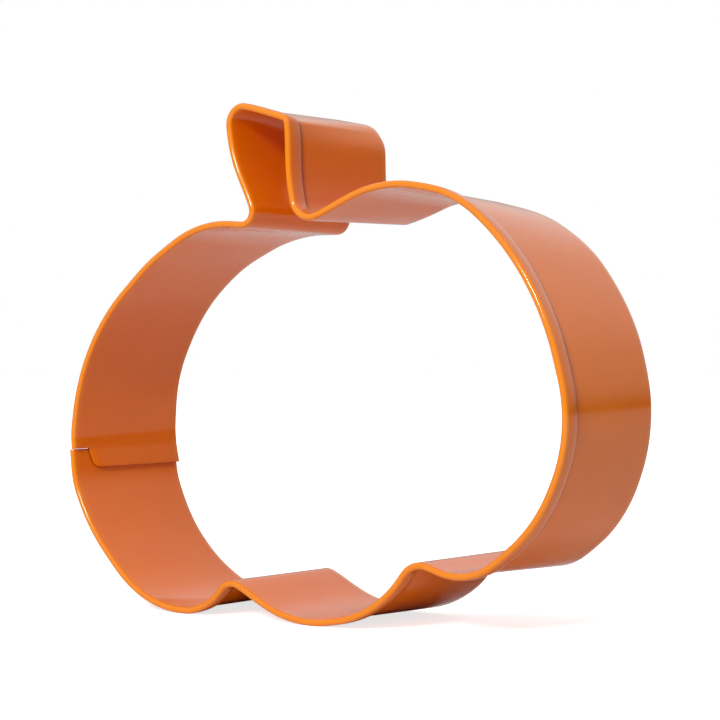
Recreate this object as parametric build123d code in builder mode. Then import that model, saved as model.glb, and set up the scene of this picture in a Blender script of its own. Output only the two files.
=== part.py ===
from build123d import *
from math import atan2, degrees, radians, tan
import os

# A pumpkin outline cutter: one strip of enamelled tinplate, rolled over along its front rim,
# bent to the outline and lapped at the left side, where spot welds hold the lap.
# Millimetres. The cutter stands on two of its bottom scallops as it does on a table:
# +X across to the right, +Z up, +Y from the hemmed rim to the cutting edge.

# Strip and hem
strip_depth = 25.0        # hemmed rim to cutting edge, one inch
sheet_thickness = 0.4     # tinplate with its enamel
hem_width = 3.3           # front rim to the raw edge of the hem's return leg
hem_slit = 0.3            # air between the two legs of the hem

# Lap joint at the left side
joint_place = (-51.2, -7.5)   # lower strip's end, on the inner face of the tongue
joint_heading = 87.0      # direction of the strip at the joint, degrees up from across
lap_length = 3.3          # tongue inside the lower strip
lap_gap = 0.05            # between the two sheets of the lap
hem_end_gap = 0.3         # between the lower strip's end and the upper strip's hem
notch_depth = 3.4         # cut away from the front of the tongue where it leaves the hem
notch_slant = 1.1         # how much more is cut away at the tongue's tip
joint_straight = 2.2      # straight run on each side of the lap
joint_bend = 12.0         # bend at the end of each straight run

# Spot welds
weld_count = 3
weld_pitch = 6.5
weld_diameter = 1.6
weld_height = 0.45        # through the lap, half of it in each sheet

# Corners of the inner face in the pumpkin's own upright axes, whose origin is its middle.
# Each is (across, up, bend radius); the strip bends round it and never reaches the corner.
left_cheek_high = (-46.5, 10.0, 33.0)
left_shoulder = (-29.0, 20.5, 37.0)
left_crown = (-17.0, 25.0, 21.5)
stem_foot_left = (-3.5, 22.0, 2.7)
stem_waist_left = (-7.5, 35.0, 20.0)
stem_top_left = (-7.5, 43.0, 2.25)
stem_top_middle = (1.5, 39.0, 7.0)
stem_top_right = (3.5, 38.0, 0.5)
stem_waist_right = (2.5, 28.5, 28.0)
stem_foot_right = (3.0, 20.5, 4.1)
right_crown = (21.0, 24.5, 24.0)
right_shoulder = (34.0, 20.0, 19.5)
right_cheek_high = (46.5, 6.0, 41.0)
right_cheek_low = (49.0, -17.5, 22.0)
right_flank = (41.0, -30.0, 24.0)
right_scallop = (28.0, -37.0, 11.0)
right_cusp = (18.0, -32.5, 4.7)
middle_scallop_right = (9.5, -40.5, 20.0)
middle_scallop_left = (-7.0, -40.5, 22.5)
left_cusp = (-19.5, -32.0, 3.7)
left_scallop = (-26.0, -37.0, 10.5)
left_flank = (-39.0, -35.0, 21.0)
left_cheek_low = (-49.5, -21.0, 31.5)

corners_from_joint = [
    left_cheek_high, left_shoulder, left_crown,
    stem_foot_left, stem_waist_left, stem_top_left, stem_top_middle,
    stem_top_right, stem_waist_right, stem_foot_right,
    right_crown, right_shoulder, right_cheek_high, right_cheek_low, right_flank,
    right_scallop, right_cusp, middle_scallop_right, middle_scallop_left, left_cusp,
    left_scallop, left_flank, left_cheek_low,
]

bend_gap = 0.3            # straight run that two neighbouring bends leave between them
outline_samples = 800     # points that find where the outline touches the table
lean_rounds = 5           # rounds that settle how far the standing cutter leans

hem_thickness = 2 * sheet_thickness + hem_slit
fold_radius = hem_thickness / 2
lap_step = sheet_thickness + lap_gap
rim = -strip_depth / 2    # the hemmed rim's place along Y; the cutting edge is at -rim
notch_top = rim + notch_depth
notch_tip = notch_top + notch_slant


def bend_radii(points, wanted):
    """Radii as wanted, or as large as the two sides of their corner leave room for."""
    sides = [after - before for before, after in zip(points, points[1:])]
    turns = [side.get_angle(following) for side, following in zip(sides, sides[1:])]
    reach = [0] + [r * tan(radians(turn) / 2) for r, turn in zip(wanted, turns)] + [0]
    room = [(side.length - bend_gap) / sum(reach[i:i + 2]) for i, side in enumerate(sides)]
    return [r * min(1, room[i], room[i + 1]) for i, r in enumerate(wanted)]


# The inner face's line, clockwise from the upper strip's hem to the lower strip's end.
joint = Vector(*joint_place)
along = Vector(1, 0).rotate(Axis.Z, joint_heading)
outward = along.rotate(Axis.Z, 90)
upper_end = joint + along * hem_end_gap
lower_end = joint + outward * lap_step
corners = [upper_end, upper_end + along * joint_straight]
corners += [Vector(across, up) for across, up, bend in corners_from_joint]
corners += [lower_end - along * (lap_length + joint_straight), lower_end]
bends = [joint_bend] + [bend for across, up, bend in corners_from_joint] + [joint_bend]
radii = bend_radii(corners, bends)

# Where the hem's outside runs, which is what touches the table.
with BuildLine() as inner_line:
    FilletPolyline(corners, radius=radii)
inner_path = inner_line.wire()
steps = [i / outline_samples for i in range(outline_samples + 1)]
outside = [inner_path @ t + (inner_path % t).rotate(Axis.Z, 90) * hem_thickness for t in steps]

# The lean at which the left and the middle scallop touch the table together.
lower_half = [point for point in outside if point.Y < 0]
left_side = [point for point in lower_half if point.X < left_cusp[0]]
middle = [point for point in lower_half if left_cusp[0] < point.X < right_cusp[0]]
lean = 0.0
for _ in range(lean_rounds):
    left_foot = min(left_side, key=lambda point: point.rotate(Axis.Z, lean).Y)
    middle_foot = min(middle, key=lambda point: point.rotate(Axis.Z, lean).Y)
    feet = middle_foot - left_foot
    lean = -degrees(atan2(feet.Y, feet.X))

# The standing cutter is centred over the origin with its feet at Z = 0.
leaning = [point.rotate(Axis.Z, lean) for point in outside]
left_most = min(point.X for point in leaning)
right_most = max(point.X for point in leaning)
lowest = min(point.Y for point in leaning)
shift = Vector(-(left_most + right_most) / 2, -lowest)


def stand(point):
    """Across and up on the standing cutter's XZ plane, for a point of the outline's own axes."""
    placed = point.rotate(Axis.Z, lean) + shift
    return placed.X, placed.Y


def stand_direction(direction):
    """A direction of the outline's own axes, as a vector in space."""
    turned = direction.rotate(Axis.Z, lean)
    return Vector(turned.X, 0, turned.Y)


# Weld nuggets: one row along the lap, each half in the tongue and half in the lower strip.
tongue_middle = (notch_tip - rim) / 2
nugget_base = sheet_thickness + lap_gap / 2 - weld_height / 2
nugget_across, nugget_up = stand(joint - along * lap_length / 2 + outward * nugget_base)
nugget_plane = Plane(
    origin=(nugget_across, tongue_middle, nugget_up),
    x_dir=(0, 1, 0),
    z_dir=stand_direction(outward),
)
with BuildPart() as spot_welds:
    with BuildSketch(nugget_plane):
        with GridLocations(weld_pitch, weld_pitch, weld_count, 1):
            Circle(weld_diameter / 2)
    extrude(amount=weld_height)

# The strip: a wall with its rim rolled outward, bent to the outline, and the plain tongue.
start_across, start_up = stand(upper_end)
section_plane = Plane(
    origin=(start_across, 0, start_up),
    x_dir=stand_direction(outward),
    z_dir=stand_direction(along),
)
joint_across, joint_up = stand(joint)
tongue_plane = Plane(
    origin=(joint_across, 0, joint_up),
    x_dir=stand_direction(along),
    z_dir=stand_direction(outward),
)
fold_centre = strip_depth / 2 - fold_radius
return_leg = hem_thickness - sheet_thickness
raw_edge = strip_depth / 2 - hem_width
with BuildPart() as hemmed_strip:
    with BuildLine(Plane.XZ) as bent_line:
        FilletPolyline([stand(point) for point in corners], radius=radii)
    with BuildSketch(section_plane):
        with BuildLine():
            wall = Polyline(
                (0, fold_centre), (0, rim), (sheet_thickness, rim), (sheet_thickness, fold_centre)
            )
            leg = Polyline(
                (hem_thickness, fold_centre),
                (hem_thickness, raw_edge),
                (return_leg, raw_edge),
                (return_leg, fold_centre),
            )
            TangentArc(wall @ 0, leg @ 0, tangent=(0, 1))
            TangentArc(wall @ 1, leg @ 1, tangent=(0, 1))
        make_face()
    sweep(path=bent_line.wire())
    with BuildSketch(tongue_plane):
        with BuildLine():
            Polyline(
                (-lap_length, notch_tip),
                (hem_end_gap, notch_top),
                (hem_end_gap, -rim),
                (-lap_length, -rim),
                close=True,
            )
        make_face()
    extrude(amount=sheet_thickness)
    add(spot_welds.part, mode=Mode.SUBTRACT)

print(f"leans {lean:.2f} degrees, outline {inner_path.length:.1f} mm long")
print("outside", hemmed_strip.part.bounding_box())
os.makedirs("parts", exist_ok=True)
hemmed_strip.part.label = "hemmed_strip"
export_step(hemmed_strip.part, "parts/hemmed_strip.step")
spot_welds.part.label = "spot_welds"
export_step(spot_welds.part, "parts/spot_welds.step")
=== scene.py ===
# %% [markdown]
# A cookie cutter bent from one strip of tinplate and coated with orange enamel.
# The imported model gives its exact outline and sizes, so this file only adds what a CAD solid
# leaves out: edges that the enamel rounds, a wall that sprang a little out of line, a hem that
# isn't perfectly even, gloss, and light. Everything is in metres, and the names ending in _mm
# are in millimetres until they are used.

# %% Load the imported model
import math

import bmesh
import bpy
import numpy as np
from mathutils import Matrix, Vector, noise


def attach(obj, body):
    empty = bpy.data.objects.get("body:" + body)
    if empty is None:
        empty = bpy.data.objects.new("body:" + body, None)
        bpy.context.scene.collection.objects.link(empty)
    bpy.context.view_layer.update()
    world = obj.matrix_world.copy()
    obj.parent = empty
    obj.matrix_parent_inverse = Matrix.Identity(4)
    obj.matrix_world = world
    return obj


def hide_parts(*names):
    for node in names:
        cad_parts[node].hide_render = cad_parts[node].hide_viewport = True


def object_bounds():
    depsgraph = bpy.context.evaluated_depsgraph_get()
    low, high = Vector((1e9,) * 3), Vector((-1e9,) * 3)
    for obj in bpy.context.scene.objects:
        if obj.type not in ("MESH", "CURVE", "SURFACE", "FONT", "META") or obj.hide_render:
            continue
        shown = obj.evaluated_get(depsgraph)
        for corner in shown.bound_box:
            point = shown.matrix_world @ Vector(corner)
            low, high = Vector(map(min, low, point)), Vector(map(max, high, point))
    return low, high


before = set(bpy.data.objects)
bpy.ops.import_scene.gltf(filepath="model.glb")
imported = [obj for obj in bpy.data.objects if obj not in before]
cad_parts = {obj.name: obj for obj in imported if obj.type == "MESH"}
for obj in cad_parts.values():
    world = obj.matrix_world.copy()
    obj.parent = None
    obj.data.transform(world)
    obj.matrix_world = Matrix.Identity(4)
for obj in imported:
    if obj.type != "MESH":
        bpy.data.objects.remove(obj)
cad_low, cad_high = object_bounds()
MM = 0.001
scene = bpy.context.scene
print("cutter, in mm:", [round((high - low) / MM, 2) for low, high in zip(cad_low, cad_high)])

# %% [markdown]
# A colour picked from a picture is an sRGB value, while shaders calculate in linear light.
# One function does the change, so that every colour below can be written as a plain hex value.
# Node trees are easier to read when each node is one line, which the second helper gives.
# It finds an input by its name, or by its number where several inputs share one name.

# %% Colour and node helpers
def linear(hex_colour):
    """Linear RGBA for an sRGB hex colour such as "F5871E"."""
    channels = [int(hex_colour[i:i + 2], 16) / 255 for i in (0, 2, 4)]
    return [c / 12.92 if c <= 0.04045 else ((c + 0.055) / 1.055) ** 2.4 for c in channels] + [1.0]


def add_node(tree, kind, settings=None, **inputs):
    """Adds a node; an input that is an output socket is linked, and any other is a value."""
    node = tree.nodes.new(kind)
    for name, value in (settings or {}).items():
        setattr(node, name, value)
    for name, value in inputs.items():
        socket = node.inputs[int(name[1:]) if name[1:].isdigit() else name.replace("_", " ")]
        if isinstance(value, bpy.types.NodeSocket):
            tree.links.new(value, socket)
        else:
            socket.default_value = value
    return node


def new_material(name):
    """A material and its node tree, which starts empty."""
    material = bpy.data.materials.new(name)
    material.use_nodes = True
    material.node_tree.nodes.clear()
    return material, material.node_tree


print("middle grey in linear light:", round(linear("808080")[0], 3))

# %% [markdown]
# The strip's outline is already in the CAD model, drawn as arcs and straight runs. Copying its
# sizes here could drift from the model, so the outline is read from the model itself: the
# cutting edge is a flat ribbon, and the ribbon's border is the strip's inner and outer line.

# %% Read the outline from the cutting edge
same_point_mm = 0.0001
same_height_mm = 0.001
facing_back = 0.99
cutting_edge = cad_high[1]
rim = cad_low[1]


def edge_border(mesh):
    """The closed border of the flat cutting edge, as (x, z) points in order."""
    numbers = {}
    points = []
    number_of = {}
    for vertex in mesh.vertices:
        key = tuple(round(c / (same_point_mm * MM)) for c in vertex.co)
        if key not in numbers:
            numbers[key] = len(points)
            points.append((vertex.co.x, vertex.co.z))
        number_of[vertex.index] = numbers[key]
    sides = set()
    for face in mesh.polygons:
        on_edge = abs(face.center.y - cutting_edge) < same_height_mm * MM
        if on_edge and face.normal.y > facing_back:
            ring = [number_of[v] for v in face.vertices]
            sides.update(zip(ring, ring[1:] + ring[:1]))
    following = {a: b for a, b in sides if (b, a) not in sides}
    ring = [next(iter(following))]
    while following[ring[-1]] != ring[0]:
        ring.append(following[ring[-1]])
    return np.array([points[i] for i in ring])


border = edge_border(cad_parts["hemmed_strip"].data)
print("points on the cutting edge's border:", len(border))

# %% [markdown]
# The border has four square corners: two at each cut end of the strip. They split it into four
# runs, and the shorter of the two long ones is the inner face, which the hem never covers.

# %% Find the inner face
square_corner_degrees = 60


def inner_line(ring):
    """The inner face's points, from the tongue's tip round to the lower strip's end."""
    sides = np.roll(ring, -1, axis=0) - ring
    heading = np.arctan2(sides[:, 1], sides[:, 0])
    turn = np.abs((heading - np.roll(heading, 1) + math.pi) % (2 * math.pi) - math.pi)
    corners = np.flatnonzero(turn > math.radians(square_corner_degrees))
    ring = np.roll(ring, -corners[0], axis=0)
    cuts = list(corners - corners[0]) + [len(ring)]
    ring = np.vstack([ring, ring[:1]])
    runs = [ring[a:b + 1] for a, b in zip(cuts, cuts[1:])]
    runs.sort(key=lambda run: np.linalg.norm(np.diff(run, axis=0), axis=1).sum())
    inner = runs[-2]
    return inner if inner[0, 1] < inner[-1, 1] else inner[::-1]


inner = inner_line(border)
reach = np.r_[0, np.cumsum(np.linalg.norm(np.diff(inner, axis=0), axis=1))]
slope = np.gradient(inner, reach, axis=0)
strip_length = reach[-1]
print("strip length, in mm:", round(strip_length / MM, 1))

# %% [markdown]
# The model's arcs come as short straight pieces, and gloss would show each of them. A smooth
# curve through their ends has the same places and no corners. This is a Hermite curve: each
# piece starts and ends in the direction that the line has there.

# %% Places on the smooth line
def on_line(distances):
    """Places on the smooth inner line and the directions away from it, outward."""
    i = np.clip(np.searchsorted(reach, distances) - 1, 0, len(reach) - 2)
    gap = reach[i + 1] - reach[i]
    t = ((distances - reach[i]) / gap)[:, None]
    a, b = inner[i], inner[i + 1]
    da, db = slope[i] * gap[:, None], slope[i + 1] * gap[:, None]
    place = (2 * t**3 - 3 * t**2 + 1) * a + (t**3 - 2 * t**2 + t) * da
    place += (3 * t**2 - 2 * t**3) * b + (t**3 - t**2) * db
    along = (6 * t**2 - 6 * t) * (a - b)
    along += (3 * t**2 - 4 * t + 1) * da + (3 * t**2 - 2 * t) * db
    along /= np.linalg.norm(along, axis=1)[:, None]
    return place, np.column_stack([-along[:, 1], along[:, 0]])


tip = on_line(np.array([0.0]))[0][0]
print("tongue's tip, x and z in mm:", [round(c / MM, 1) for c in tip])

# %% [markdown]
# Across the strip, the section is a hook: a thin wall whose front is folded outward and pressed
# flat into a hem, so that a hand can push on it. A sweep of a curve with a bevel profile could
# draw this, but then the hem could not waver, so the section is a list of points that is placed
# at every step along the line. A point is (outward, depth behind the rim), in millimetres. The
# sheet, slit, hem and notch have the model's sizes.

# %% Sizes of the hook section
sheet_mm = 0.4
slit_mm = 0.3
hem_mm = 3.3
notch_mm = 3.4
cut_round_mm = 0.17
depth_mm = (cutting_edge - rim) / MM
fold_mm = sheet_mm + slit_mm / 2
outer_leg_mm = 2 * fold_mm
inner_leg_mm = outer_leg_mm - sheet_mm
print("hem thickness, in mm:", outer_leg_mm, "strip depth, in mm:", round(depth_mm, 2))

# %% [markdown]
# Enamel flows away from cut edges and leaves them round, so each cut edge is two quarter arcs.
# The fold gets the most points, because its gloss is the first thing that the eye finds.

# %% Arcs and straight runs of the section
wall_step_mm = 1.0
hem_step_mm = 0.25
slit_step_mm = 0.5
fold_steps = 24
cut_steps = 3
slit_steps = 6


def arc(out, depth, radius, start, end, steps):
    """Points of an arc in the section, with angles in degrees from the outward direction."""
    angles = [math.radians(start + (end - start) * i / steps) for i in range(steps + 1)]
    return [(out + radius * math.cos(a), depth + radius * math.sin(a)) for a in angles]


def straight(out, start, end, step):
    """Points between two depths, with neither end."""
    count = max(2, round(abs(end - start) / step))
    return [(out, start + (end - start) * i / count) for i in range(1, count)]


r = cut_round_mm
wall_cut = depth_mm - r
hem_cut = hem_mm - r
tongue_front = notch_mm + r
inner_side = [(0, wall_cut)] + straight(0, wall_cut, tongue_front, wall_step_mm)
inner_side += [(0, tongue_front)] + straight(0, tongue_front, fold_mm, wall_step_mm)
hem_side = arc(fold_mm, fold_mm, fold_mm, 180, 360, fold_steps)
hem_side += straight(outer_leg_mm, fold_mm, hem_cut, hem_step_mm)
hem_side += arc(outer_leg_mm - r, hem_cut, r, 0, 90, cut_steps)
hem_side += arc(inner_leg_mm + r, hem_cut, r, 90, 180, cut_steps)
hem_side += straight(inner_leg_mm, hem_cut, fold_mm, slit_step_mm)
hem_side += arc(fold_mm, fold_mm, slit_mm / 2, 0, -180, slit_steps)
print("points inside:", len(inner_side), "points round the hem:", len(hem_side))

# %% [markdown]
# The press closes a hem most at its raw edge. The return leg therefore dips toward the wall
# there, which gives the rim its soft outer shoulder.

# %% Dip the hem and finish the section
dip_mm = 0.28
dip_length_mm = 2.2
dip_start = hem_mm - dip_length_mm
hem_side = [
    (out - dip_mm * (max(0, depth - dip_start) / dip_length_mm)**2, depth)
    for out, depth in hem_side
]
outer_side = straight(sheet_mm, fold_mm, tongue_front, wall_step_mm)
outer_side += [(sheet_mm, tongue_front)]
notch_at = len(inner_side) + len(hem_side) + len(outer_side) - 1
outer_side += straight(sheet_mm, tongue_front, tongue_front + wall_step_mm, hem_step_mm)
outer_side += straight(sheet_mm, tongue_front + wall_step_mm, wall_cut, wall_step_mm)
edge_side = arc(sheet_mm - r, wall_cut, r, 0, 90, cut_steps)
edge_side += arc(r, wall_cut, r, 90, 180, cut_steps)[:-1]
hook = np.array(inner_side + hem_side + outer_side + edge_side)
print("points in the section:", len(hook))

# %% [markdown]
# The upper strip goes on past its hem as a plain tongue. The tongue uses the hook's own points
# behind the notch, and only its front edge is new.

# %% The tongue's section
tongue_at = inner_side.index((0, tongue_front))
tongue_edge = arc(r, tongue_front, r, 180, 270, cut_steps)[1:]
tongue_edge += arc(sheet_mm - r, tongue_front, r, 270, 360, cut_steps)[:-1]
tongue_section = np.array([*hook[notch_at:], *hook[:tongue_at + 1], *tongue_edge])
print("points in the tongue's section:", len(tongue_section))

# %% [markdown]
# Thin sheet springs back after bending, and only the hem is stiff enough to hold the outline.
# At the cutting edge the wall therefore stands out of line, by 1.6 mm at most. Each row is a
# place on the strip, its distance from the tongue's tip, and how far the wall went outward
# there, both in millimetres. Between two rows the spring changes smoothly. The rows were set
# by comparing renders with the real cutter's picture.

# %% How far the wall sprang
sprung = [
    ("tongue", 0, -0.5),
    ("lap", 4, -0.45),
    ("left cheek", 19, 0.65),
    ("left shoulder", 34, 1.15),
    ("left crown", 54, -0.4),
    ("stem's left side", 68, 0.0),
    ("stem's top", 86, 0.0),
    ("stem's top corner", 94.6, 0.5),
    ("stem's right side", 97.5, 0.75),
    ("right crown", 112, 0.35),
    ("right crown's end", 121, -0.3),
    ("right shoulder", 138, -1.6),
    ("right shoulder's end", 156, 0.0),
    ("right cheek", 168, 0.2),
    ("right cheek's middle", 182, -0.2),
    ("right cheek's end", 206, 0.95),
    ("right cusp", 220, 0.0),
    ("middle scallop's side", 229, 0.6),
    ("middle scallop", 256, 0.05),
    ("left cusp", 272, 0.0),
    ("left scallop", 286, -0.25),
    ("left cheek below", 293, 0.1),
    ("lower strip's end", 311, -0.5),
]


def spring(distance_mm):
    """How far the wall has sprung outward at the cutting edge, in mm."""
    for (_, start, first), (_, end, last) in zip(sprung, sprung[1:]):
        if distance_mm <= end:
            t = (distance_mm - start) / (end - start)
            return first + (last - first) * t * t * (3 - 2 * t)
    return sprung[-1][2]


print("most inward, in mm:", min(row[2] for row in sprung))
print("most outward, in mm:", max(row[2] for row in sprung))

# %% [markdown]
# The stem's top corner is bent sharply at the hem, and opens out toward the cutting edge.
# Averaging the line over a few millimetres on each side is what opens a bend, and the share of
# the average fades away from the corner, so that no kink shows where it starts.

# %% Open the stem's sharp bend
relaxed_at_mm = 94.6
relaxed_reach_mm = 7.0
relaxed_spread_mm = 3.5
relaxed_samples = 15


def relaxed(distances):
    """The line and its outward directions as they are at the cutting edge."""
    places, outward = on_line(distances)
    spread = np.linspace(-relaxed_spread_mm, relaxed_spread_mm, relaxed_samples) * MM
    around = [on_line(np.clip(distances + offset, 0, strip_length)) for offset in spread]
    near = np.clip(1 - np.abs(distances / MM - relaxed_at_mm) / relaxed_reach_mm, 0, 1)
    share = (near * near * (3 - 2 * near))[:, None]
    places = places + share * (np.mean([a[0] for a in around], axis=0) - places)
    outward = outward + share * (np.mean([a[1] for a in around], axis=0) - outward)
    return places, outward / np.linalg.norm(outward, axis=1)[:, None]


corner = np.array([relaxed_at_mm * MM])
opened = np.linalg.norm(relaxed(corner)[0] - on_line(corner)[0])
print("corner cut off by, in mm:", round(opened / MM, 2))

# %% [markdown]
# A hand-fed roller leaves the hem a little wider here and narrower there. Noise that changes
# slowly along the strip gives that, kept to tenths of a millimetre, so that the cutter still
# measures what the model says. Each kind of waver reads its own layer of the noise, ten waves
# from the next. The steps along the strip are closer where it bends sharply.

# %% Steps and slow noise along the strip
waver_length_mm = 14.0
layer_gap = 10
hem_width_layer = 1
hem_lift_layer = 2
wall_layer = 3
strip_step_mm = 0.45
turn_step_degrees = 6


def waver(place, layer):
    """Slow noise from -1 to 1 at a place in metres, the same on every run."""
    height = layer * layer_gap * waver_length_mm * MM
    return noise.noise(Vector((place[0], place[1], height)) / (waver_length_mm * MM))


def stations(start, end):
    """Distances from start to end, closer together where the strip bends sharply."""
    turn = np.abs(np.diff(np.unwrap(np.arctan2(slope[:, 1], slope[:, 0])), prepend=0))
    turn[0] = 0
    cost = reach / (strip_step_mm * MM) + np.cumsum(turn) / math.radians(turn_step_degrees)
    first, last = np.interp([start, end], reach, cost)
    return np.interp(np.linspace(first, last, math.ceil(last - first) + 1), cost, reach)


print("steps along the whole strip:", len(stations(0, strip_length)))

# %% [markdown]
# Each step gets one ring: the section, turned to face away from the line. The hem keeps to the
# outline, and the spring, the opened bend and the wall's own waver grow toward the cutting edge.

# %% Place the section along the line
hem_waver_mm = 0.12
hem_lift_mm = 0.08
wall_waver_mm = 0.08


def rings(distances, section):
    """The section at every distance, as an array of rings of points in space."""
    places, outward = on_line(distances)
    edge_places, edge_outward = relaxed(distances)
    out, depth = section[:, 0], section[:, 1]
    far_from_rim = np.clip(depth / depth_mm, 0, 1)
    on_leg = (out > sheet_mm + slit_mm / 4) & (depth > fold_mm) & (depth <= hem_mm)
    toward_raw_edge = np.where(on_leg, (depth - fold_mm) / (hem_mm - fold_mm), 0)
    placed = []
    for i, distance in enumerate(distances):
        place = places[i]
        centre = place + far_from_rim[:, None] * (edge_places[i] - place)
        away = outward[i] + far_from_rim[:, None] * (edge_outward[i] - outward[i])
        outs = out + spring(distance / MM) * far_from_rim
        outs = outs + hem_lift_mm * waver(place, hem_lift_layer) * toward_raw_edge
        outs = outs + wall_waver_mm * waver(place, wall_layer) * far_from_rim
        depths = depth + hem_waver_mm * waver(place, hem_width_layer) * toward_raw_edge
        flat = centre + outs[:, None] * MM * away
        placed.append(np.column_stack([flat[:, 0], rim + depths * MM, flat[:, 1]]))
    return np.array(placed)


first_ring = rings(np.array([strip_length / 2]), hook)[0]
print("hook's depth halfway, in mm:", round(np.ptp(first_ring[:, 1]) / MM, 2))

# %% [markdown]
# The lap: the upper strip loses its hem for the last few millimetres and goes on as a plain
# tongue behind the lower strip, whose own hem keeps its full section to a straight cut end.
# Tin snips cut the tongue's front edge on a slant and round its corner. The tip stands a little
# off the lower strip. Over the first millimetre from the front edge the inner face is a ramp,
# which thins the tongue there by about half of the sheet.

# %% The tongue's rings
tongue_mm = 3.36
lap_steps = 22
notch_slant_mm = 1.1
tip_round_mm = 0.9
tongue_lift_mm = 0.25
ramp_mm = 1.0
ramp_depth_mm = 0.22


def tongue_rings():
    """The tongue's rings, from its tip to the start of the hem."""
    distances = np.linspace(0, tongue_mm * MM, lap_steps)
    placed = rings(distances, tongue_section)
    depth = tongue_section[:, 1]
    toward_tip = 1 - distances / (tongue_mm * MM)
    at_corner = np.clip(1 - distances / (tip_round_mm * MM), 0, 1)
    cut_away = toward_tip * notch_slant_mm * MM
    cut_away += tip_round_mm * MM * (1 - np.sqrt(1 - at_corner**2))
    near_notch = 1 - np.clip((depth - notch_mm) / (depth_mm - notch_mm), 0, 1)
    placed[:, :, 1] += cut_away[:, None] * near_notch
    inner_face = tongue_section[:, 0] < sheet_mm / 2
    ramp = np.clip(1 - (depth - notch_mm) / ramp_mm, 0, 1)**2 * inner_face
    lift = tongue_lift_mm * toward_tip
    away = on_line(distances)[1][:, None] * MM
    placed[:, :, [0, 2]] += (ramp_depth_mm * ramp - lift[:, None])[:, :, None] * away
    return placed


lap_rings = tongue_rings()
print("tongue's rings:", len(lap_rings), "of", lap_rings.shape[1], "points")

# %% [markdown]
# The hook and the tongue share the points of the wall, so the enamel runs from one to the
# other without a seam. Only the hem's end and the two cut ends get faces of their own.

# %% Join the rings
def skin(first, second):
    """Quads between two closed rings of point numbers."""
    pairs = list(zip(first, second))
    return [(a, b, d, c) for (a, b), (c, d) in zip(pairs, pairs[1:] + pairs[:1])]


def joined(hook_rings):
    """All points, the faces between rings, and the three end faces."""
    points = hook_rings.reshape(-1, 3).tolist()
    numbers = np.arange(len(points)).reshape(len(hook_rings), -1).tolist()
    shared = numbers[0][notch_at:] + numbers[0][:tongue_at + 1]
    closing = list(range(len(points), len(points) + len(tongue_edge)))
    points += lap_rings[-1][len(shared):].tolist()
    lap_numbers = [shared + closing]
    for ring in lap_rings[-2::-1]:
        lap_numbers.append(list(range(len(points), len(points) + len(ring))))
        points += ring.tolist()
    faces = [face for a, b in zip(numbers, numbers[1:]) for face in skin(a, b)]
    faces += [face for a, b in zip(lap_numbers, lap_numbers[1:]) for face in skin(b, a)]
    hem_end = numbers[0][tongue_at:notch_at + 1] + closing[::-1]
    return points, faces, [numbers[-1], hem_end, lap_numbers[-1]]


hook_rings = rings(stations(tongue_mm * MM, strip_length), hook)
points, faces, ends = joined(hook_rings)
print("points:", len(points), "faces:", len(faces) + len(ends))

# %% [markdown]
# The shape tells the material where its colour changes. The fold and the cutting edge are
# painted lighter, as enamel that drew back thin there and as a painted highlight where the
# softbox faces the rim; at the cutting edge this band is only a third as wide. The corner
# behind the hem is painted dark, as painted shade that the hem's raw edge would cast. Two
# numbers on each point carry that to the material, which reads them by name.

# %% Where the colour is painted lighter and where painted shade goes
# The lighter band at the edges is thin enamel and a painted highlight; the dark band behind the
# hem is painted shade.
lighter_edge_reach_mm = 1.6 * fold_mm
cutting_edge_factor = 3
painted_shade_mm = 0.7


def thin_film_and_sheen(section):
    """1 at the fold and the cutting edge, lighter for thin enamel and as a painted highlight,
    falling to 0 on the flat wall.
    """
    from_edge = np.minimum(section[:, 1], (depth_mm - section[:, 1]) * cutting_edge_factor)
    return np.clip(1 - from_edge / lighter_edge_reach_mm, 0, 1)


def painted_shade_behind_hem(section):
    """1 in the corner behind the hem's raw edge, where the colour is darkened as painted shade.
    """
    out, depth = section.T
    behind = np.clip(1 - np.abs(depth - hem_mm - painted_shade_mm / 2) / painted_shade_mm, 0, 1)
    return np.where(out > sheet_mm / 2, behind, 0)


sections = [hook] * len(hook_rings) + [tongue_section[-len(tongue_edge):]]
sections += [tongue_section] * (lap_steps - 1)
# The first number lightens the edges, for thin enamel and a painted highlight; the second darkens
# the corner behind the hem, as painted shade.
films = {
    "thin_and_sheen": np.concatenate([thin_film_and_sheen(section) for section in sections]),
    "painted_shade": np.concatenate([painted_shade_behind_hem(section) for section in sections]),
}
print("points with thin enamel:", int((films["thin_and_sheen"] > 0).sum()))
print("points with pooled enamel:", int((films["painted_shade"] > 0).sum()))

# %% [markdown]
# The strip becomes one closed mesh. Its rings are shaded smooth and its cut ends flat. Counting
# the open edges shows at once whether the skin has a hole.

# %% Build the enamelled strip
def enamelled_strip():
    """The whole strip as one closed mesh object."""
    mesh = bpy.data.meshes.new("enamelled_strip")
    mesh.from_pydata(points, [], faces + ends)
    mesh.polygons.foreach_set("use_smooth", [True] * len(faces) + [False] * len(ends))
    mesh.update()
    for name, values in films.items():
        mesh.attributes.new(name, "FLOAT", "POINT").data.foreach_set("value", values)
    shell = bmesh.new()
    shell.from_mesh(mesh)
    bmesh.ops.recalc_face_normals(shell, faces=shell.faces)
    print("open edges:", sum(not edge.is_manifold for edge in shell.edges))
    print("volume, in cubic mm:", round(shell.calc_volume() / MM**3))
    shell.to_mesh(mesh)
    shell.free()
    made = bpy.data.objects.new("enamelled_strip", mesh)
    scene.collection.objects.link(made)
    return made


strip = enamelled_strip()
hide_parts("hemmed_strip")
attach(strip, "root")

# %% [markdown]
# Stoving enamel: an orange paint sprayed on the tinplate and baked until it is hard and glossy.
# It is a pigmented plastic film, so it is not metallic, its IOR is about 1.5 and its roughness
# is low, which gives the eye sharp reflections over a full colour. Up close the film isn't
# level: it dries in a fine ripple called orange peel, a millimetre or two across. Its colour
# is painted lighter at the fold and the cutting edge, for the thin film there and as a painted
# highlight where the softbox faces the rim. Behind the hem it is painted dark red-brown as
# painted shade.

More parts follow.
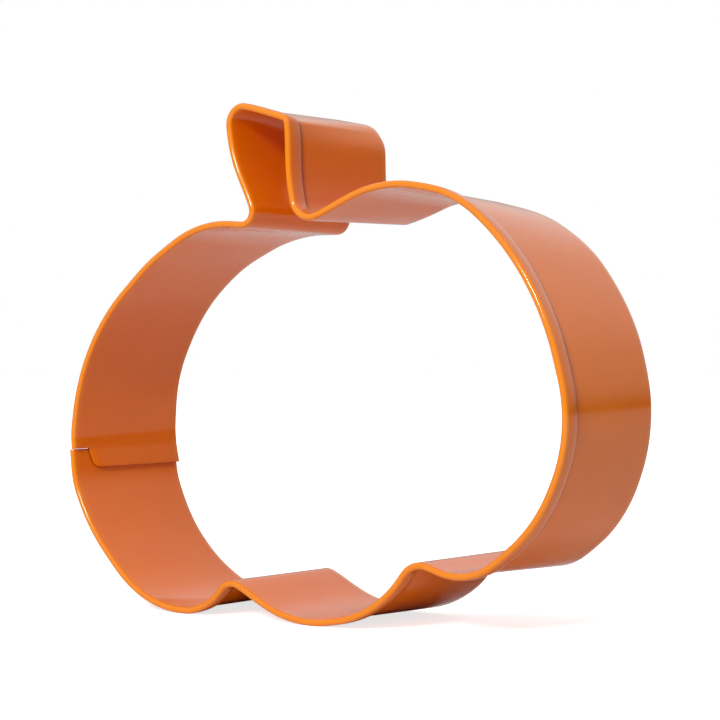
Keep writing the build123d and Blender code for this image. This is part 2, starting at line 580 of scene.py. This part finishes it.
# %% Colours and sizes of the enamel
enamel_light = "F27A01"
enamel_deep = "EA6F00"
# Thin enamel and painted highlight: the lighter orange for the fold and the cutting edge.
enamel_thin_and_sheen = "F98E1A"
# Painted shade: the dark red-brown for the corner behind the hem's raw edge.
enamel_painted_shade = "8E2C04"
enamel_ior = 1.5
smoothest = 0.10
roughest = 0.16
film_patch_mm = 9.0
painted_shade_run_mm = 11.0
peel_mm = 1.6
peel_height_mm = 0.002
width_mm = (cad_high[0] - cad_low[0]) / MM
print("film patches across the cutter's width:", round(width_mm / film_patch_mm))

# %% [markdown]
# Every colour of the film is mixed in turn: the slow patches of the spray, then the lighter
# edges, which are thin enamel and a painted highlight, then the painted shade behind the hem.
# Noise decides how strong the painted shade is along the hem. The peel only tips the surface a
# little, which is what bump is for.

# %% Orange enamel
def orange_enamel():
    """Baked orange enamel with orange peel, random patches, edges lightened for thin film and as
    a painted highlight, and painted shade behind the hem.
    """
    material, tree = new_material("orange_enamel")
    place = add_node(tree, "ShaderNodeTexCoord").outputs["Object"]
    film = add_node(
        tree, "ShaderNodeTexNoise", Vector=place, Scale=1 / (film_patch_mm * MM), Detail=3.0
    ).outputs["Fac"]
    sprayed = add_node(
        tree, "ShaderNodeMix", {"data_type": "RGBA"},
        _0=film, _6=linear(enamel_deep), _7=linear(enamel_light),
    )
    # The lighter edges are thin enamel and also a painted highlight where the softbox faces the
    # rim.
    thin_and_sheen = add_node(tree, "ShaderNodeAttribute", {"attribute_name": "thin_and_sheen"})
    lightened_edges = add_node(
        tree, "ShaderNodeMix", {"data_type": "RGBA"},
        _0=thin_and_sheen.outputs["Fac"], _6=sprayed.outputs[2], _7=linear(enamel_thin_and_sheen),
    )
    # The dark colour behind the hem is painted shade, where the hem's raw edge would shade the
    # wall.
    painted_shade = add_node(tree, "ShaderNodeAttribute", {"attribute_name": "painted_shade"})
    run = add_node(tree, "ShaderNodeTexNoise", Vector=place, Scale=1 / (painted_shade_run_mm * MM))
    shade_strength = add_node(
        tree, "ShaderNodeMath", {"operation": "MULTIPLY"},
        _0=painted_shade.outputs["Fac"], _1=run.outputs["Fac"],
    )
    finish = add_node(
        tree, "ShaderNodeMix", {"data_type": "RGBA"},
        _0=shade_strength.outputs[0], _6=lightened_edges.outputs[2], _7=linear(enamel_painted_shade),
    )
    peel = add_node(
        tree, "ShaderNodeTexNoise", Vector=place, Scale=1 / (peel_mm * MM), Detail=1.0
    )
    bump = add_node(
        tree, "ShaderNodeBump",
        Strength=1.0, Distance=peel_height_mm * MM, Height=peel.outputs["Fac"],
    )
    gloss = add_node(
        tree, "ShaderNodeMapRange", Value=film, To_Min=smoothest, To_Max=roughest
    )
    shader = add_node(
        tree, "ShaderNodeBsdfPrincipled",
        Base_Color=finish.outputs[2], Roughness=gloss.outputs["Result"],
        IOR=enamel_ior, Normal=bump.outputs["Normal"],
    )
    add_node(tree, "ShaderNodeOutputMaterial", Surface=shader.outputs["BSDF"])
    return material


strip.data.materials.append(orange_enamel())
print("nodes in the enamel:", len(strip.active_material.node_tree.nodes))

# %% [markdown]
# Spot welds hold the lap. They are small discs of mild steel that an electric current melted
# inside the joint. Steel that sets by itself is never polished, so the eye gets a grey, satin
# metal with a slight mottle. Real grain is too fine for the render to show, so it is drawn as
# coarse as a third of a millimetre.

# %% Weld steel
weld_grain_mm = 0.3
weld_dark = "8E8E92"
weld_pale = "B4B4B8"
weld_smoothest = 0.35
weld_roughest = 0.55


def weld_steel():
    """Steel that was melted and cooled: grey, satin, slightly mottled."""
    material, tree = new_material("weld_steel")
    place = add_node(tree, "ShaderNodeTexCoord").outputs["Object"]
    grain = add_node(
        tree, "ShaderNodeTexNoise", Vector=place, Scale=1 / (weld_grain_mm * MM), Detail=2.0
    ).outputs["Fac"]
    colour = add_node(
        tree, "ShaderNodeMix", {"data_type": "RGBA"},
        _0=grain, _6=linear(weld_dark), _7=linear(weld_pale),
    )
    rough = add_node(
        tree, "ShaderNodeMapRange", Value=grain, To_Min=weld_smoothest, To_Max=weld_roughest
    )
    shader = add_node(
        tree, "ShaderNodeBsdfPrincipled",
        Base_Color=colour.outputs[2], Roughness=rough.outputs["Result"], Metallic=1.0,
    )
    add_node(tree, "ShaderNodeOutputMaterial", Surface=shader.outputs["BSDF"])
    return material


nugget_steel = weld_steel()
print("nodes in the weld steel:", len(nugget_steel.node_tree.nodes))

# %% [markdown]
# Both sheets and the enamel cover the welds. Where the wall sprang inward they have to go with
# it, or they would show through the outer sheet, so a copy of the model's discs is moved by as
# much as the wall moved at their depth.

# %% Move the welds with the wall
def sprung_welds():
    """The model's weld nuggets, moved with the wall where it sprang inward."""
    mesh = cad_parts["spot_welds"].data.copy()
    distance = tongue_mm / 2
    places, outward = on_line(np.array([distance * MM]))
    wall_move = spring(distance) + wall_waver_mm * waver(places[0], wall_layer)
    for vertex in mesh.vertices:
        far_from_rim = (vertex.co.y - rim) / MM / depth_mm
        move = wall_move * far_from_rim * MM
        vertex.co.x += move * outward[0, 0]
        vertex.co.z += move * outward[0, 1]
    mesh.materials.clear()
    mesh.materials.append(nugget_steel)
    made = bpy.data.objects.new("weld_nuggets", mesh)
    scene.collection.objects.link(made)
    print("wall's move beside the welds, at the cutting edge, in mm:", round(wall_move, 2))
    return made


welds = sprung_welds()
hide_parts("spot_welds")
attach(welds, "root")

# %% [markdown]
# The studio: a white table and white all round, as for a catalogue picture. The table is matt
# white card, pressed paper that was never coated, so it has no gloss and takes a soft shadow.
# For what looks at it directly it also glows, so that it melts into the white behind it without
# any extra light on the cutter. Gloss sees only a weak glow, which starts 3 cm from the middle
# of the table and is full at 25 cm. A light path node tells these kinds of ray apart.

# %% White card
card_white = "F2F2F2"
white = "FFFFFF"
table_glow = 0.75
table_gleam = 0.1
gleam_start = 0.03
gleam_full = 0.25


def is_ray(tree, *kinds):
    """1 for rays of any of these kinds, and 0 for the others."""
    rays = add_node(tree, "ShaderNodeLightPath")
    found = rays.outputs[f"Is {kinds[0]} Ray"]
    for kind in kinds[1:]:
        found = add_node(
            tree, "ShaderNodeMath", {"operation": "MAXIMUM"},
            _0=found, _1=rays.outputs[f"Is {kind} Ray"],
        ).outputs[0]
    return found


def white_card():
    """Matt white card that glows for what looks at it, and only a little in reflections."""
    material, tree = new_material("white_card")
    card = add_node(tree, "ShaderNodeBsdfDiffuse", Color=linear(card_white))
    shown = add_node(
        tree, "ShaderNodeMath", {"operation": "MULTIPLY"},
        _0=is_ray(tree, "Camera", "Transmission"), _1=table_glow,
    )
    place = add_node(tree, "ShaderNodeTexCoord").outputs["Object"]
    away = add_node(tree, "ShaderNodeVectorMath", {"operation": "LENGTH"}, _0=place)
    far = add_node(
        tree, "ShaderNodeMapRange", Value=away.outputs["Value"],
        From_Min=gleam_start, From_Max=gleam_full, To_Max=table_gleam,
    )
    strength = add_node(
        tree, "ShaderNodeMath", {"operation": "MULTIPLY_ADD"},
        _0=is_ray(tree, "Glossy"), _1=far.outputs["Result"], _2=shown.outputs[0],
    )
    glow = add_node(
        tree, "ShaderNodeEmission", Color=linear(white), Strength=strength.outputs[0]
    )
    lit_card = add_node(tree, "ShaderNodeAddShader", _0=card.outputs[0], _1=glow.outputs[0])
    add_node(tree, "ShaderNodeOutputMaterial", Surface=lit_card.outputs[0])
    return material


card = white_card()
print("nodes in the card:", len(card.node_tree.nodes))

# %% [markdown]
# The table is one large square, because a table whose end is far away leaves no edge in the
# picture. It lies a hair below the cutter's feet, so that the two surfaces never share a place.

# %% Table
table_half = 3.0
table_drop_mm = 0.02
h = table_half
table_mesh = bpy.data.meshes.new("table")
table_mesh.from_pydata([(-h, -h, 0), (h, -h, 0), (h, h, 0), (-h, h, 0)], [], [(0, 1, 2, 3)])
table_mesh.materials.append(card)
table = bpy.data.objects.new("table", table_mesh)
table.location.z = cad_low[2] - table_drop_mm * MM
scene.collection.objects.link(table)
print("table, in metres:", 2 * table_half, "square")

# %% [markdown]
# Around the table, soft light comes from large patches of the surroundings. What the gloss sees
# is set apart from what lights the paint, because a studio hangs dark and white boards where
# only reflections find them. Each row has a name, the way to the light's middle, the cosines of
# the angles at which it starts and is full, and its strength. From anywhere else the gloss gets
# the weak side_gleam.

# %% Lights in the surroundings
soft_lights = [
    ("above, in front", (0.0, -0.5, 0.87), 0.8, 1.0, 1.9),
    ("above, behind", (0.0, 0.5, 0.87), 0.8, 1.0, 0.7),
    ("from the right", (1.0, 0.0, 0.0), 0.0, 1.0, 0.28),
]
gleams = [
    ("above", (0.0, 0.0, 1.0), 0.0, 0.5, 0.7),
    ("behind", (0.0, 1.0, 0.0), 0.6, 1.0, 0.5),
]
side_gleam = 0.08


def sum_of(tree, way, lights):
    """A strength to which each light adds its own, fading from its middle to its border."""
    total = 0.0
    for _, middle, border, full, strength in lights:
        toward = add_node(
            tree, "ShaderNodeVectorMath", {"operation": "DOT_PRODUCT"}, _0=way, _1=middle
        )
        share = add_node(
            tree, "ShaderNodeMapRange", {"interpolation_type": "SMOOTHSTEP"},
            Value=toward.outputs["Value"], From_Min=border, From_Max=full, To_Max=strength,
        )
        total = add_node(
            tree, "ShaderNodeMath", {"operation": "ADD"}, _0=share.outputs["Result"], _1=total
        ).outputs[0]
    return total


print("soft lights:", len(soft_lights), "gleams:", len(gleams))

# %% [markdown]
# The world puts the rows together. The gleams fade out just above the horizon, so that the
# table's far edge draws less of a line across the walls. What looks straight past the cutter
# sees plain white, where a strength of 1 is white.

# %% Surroundings
horizon_fade = 0.12
white_strength = 1.0


def studio():
    """A world that is white to look at, and lights the cutter from the rows above."""
    world = bpy.data.worlds.new("studio")
    world.use_nodes = True
    tree = world.node_tree
    tree.nodes.clear()
    way = add_node(tree, "ShaderNodeTexCoord").outputs["Generated"]
    height = add_node(tree, "ShaderNodeSeparateXYZ", Vector=way).outputs["Z"]
    above_horizon = add_node(
        tree, "ShaderNodeMapRange", {"interpolation_type": "SMOOTHSTEP"},
        Value=height, From_Max=horizon_fade,
    )
    gleam = add_node(
        tree, "ShaderNodeMath", {"operation": "MULTIPLY_ADD"},
        _0=sum_of(tree, way, gleams), _1=above_horizon.outputs["Result"], _2=side_gleam,
    )
    reflected = add_node(
        tree, "ShaderNodeMix",
        _0=is_ray(tree, "Glossy"), _2=sum_of(tree, way, soft_lights), _3=gleam.outputs[0],
    )
    seen = add_node(
        tree, "ShaderNodeMix",
        _0=is_ray(tree, "Camera", "Transmission"), _2=reflected.outputs[0], _3=white_strength,
    )
    surround = add_node(
        tree, "ShaderNodeBackground", Color=linear(white), Strength=seen.outputs[0]
    )
    add_node(tree, "ShaderNodeOutputWorld", Surface=surround.outputs[0])
    return world


scene.world = studio()
print("nodes in the surroundings:", len(scene.world.node_tree.nodes))

# %% [markdown]
# One softbox stands in front of the cutter, about 27 degrees above it and a little to the
# right. It faces the rim, which is why the rim is the brightest part, and it only grazes the
# walls. It is small for its distance, so that the rim's gloss shows it as narrow streaks.

# %% Lamp
lamp_direction = Vector((0.225, -0.885, 0.46))
lamp_distance = 0.9
lamp_size = 0.13
lamp_power = 4.3
middle = (Vector(cad_low) + Vector(cad_high)) / 2
lamp_data = bpy.data.lights.new("softbox", "AREA")
lamp_data.shape = "SQUARE"
lamp_data.size = lamp_size
lamp_data.energy = lamp_power
lamp = bpy.data.objects.new("softbox", lamp_data)
lamp.location = middle + lamp_direction.normalized() * lamp_distance
lamp.rotation_euler = (-lamp_direction).to_track_quat("-Z", "Y").to_euler()
scene.collection.objects.link(lamp)
print("lamp at, in metres:", [round(c, 2) for c in lamp.location])

# %% [markdown]
# The camera stands in front of the cutter and to the right, level with its middle and a third
# of a metre away, so that the far side of the strip shows through it. The angles are in
# degrees: how far it turns to the left, tips up, and rolls.

# %% Camera
camera_place = (0.2142, -0.2649, 0.0426)
camera_turn = 38.5
camera_tip = -0.16
camera_roll = -0.45
camera_lens = 105.0
camera_sensor = 36.0
camera_data = bpy.data.cameras.new("camera")
camera_data.lens = camera_lens
camera_data.sensor_width = camera_sensor
camera = bpy.data.objects.new("camera", camera_data)
camera.location = camera_place
aim = Matrix.Rotation(math.radians(camera_turn), 3, "Z")
aim @= Matrix.Rotation(math.radians(90 + camera_tip), 3, "X")
aim @= Matrix.Rotation(math.radians(camera_roll), 3, "Z")
camera.rotation_euler = aim.to_euler()
scene.collection.objects.link(camera)
scene.camera = camera
scene.view_settings.view_transform = "Standard"
print("camera to cutter, in metres:", round((camera.location - middle).length, 3))
